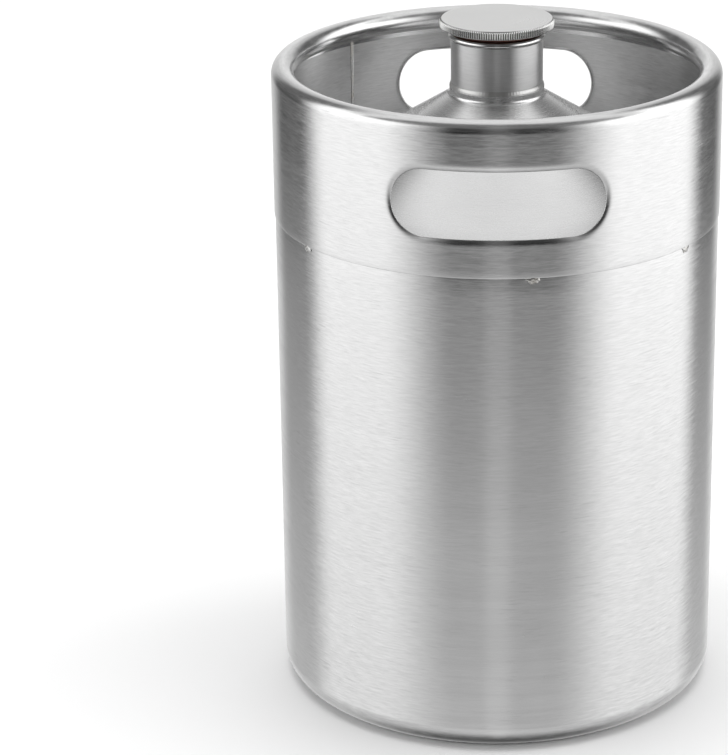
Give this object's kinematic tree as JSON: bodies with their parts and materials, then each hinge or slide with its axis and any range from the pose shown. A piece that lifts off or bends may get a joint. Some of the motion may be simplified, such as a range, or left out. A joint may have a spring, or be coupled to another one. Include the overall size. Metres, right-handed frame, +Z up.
{
  "type": "beer keg",
  "caption": "Small single-wall steel keg with a handle collar, curled rim, two handholds and a knurled screw cap on a short neck.",
  "frame": {"origin": "centre of the standing ring, on the ground", "axes": "+Z up along the keg's axis; one handhold faces -Y and the other +Y"},
  "size_m": [0.1658, 0.1663, 0.2577],
  "materials": {
    "brushed_steel": "brushed round the body",
    "polished_steel": "finely turned, near polished",
    "weld_bead": "pickled weld, satin",
    "seal_rubber": "matt, dark brown"
  },
  "bodies": {
    "keg": {"body_wall": "brushed_steel", "bottom_dish": "brushed_steel", "top_shoulder": "brushed_steel", "handle_collar": "brushed_steel", "neck_tube": "polished_steel", "bottom_weld": "weld_bead", "shoulder_weld": "weld_bead", "neck_weld": "weld_bead", "wall_seam_weld": "weld_bead", "collar_seam_weld": "weld_bead", "tack_weld_1": "weld_bead", "tack_weld_2": "weld_bead", "tack_weld_3": "weld_bead", "tack_weld_4": "weld_bead", "tack_weld_5": "weld_bead", "tack_weld_6": "weld_bead"},
    "seal": {"cap_seal": "seal_rubber"},
    "cap": {"screw_cap": "polished_steel"}
  },
  "joints": [
    {"name": "cap_lift", "type": "slide", "parent": "keg", "child": "seal", "axis": [0, 0, 1], "range_m": [0, 0.015]},
    {"name": "cap_turn", "type": "hinge", "parent": "seal", "child": "cap", "pos_m": [0, 0, 0.253], "axis": [0, 0, 1], "range_deg": [0, 1800]}
  ],
  "couplings": [
    {"joint": "cap_lift", "follows": "cap_turn", "m_per_rad": 0.00047746}
  ]
}
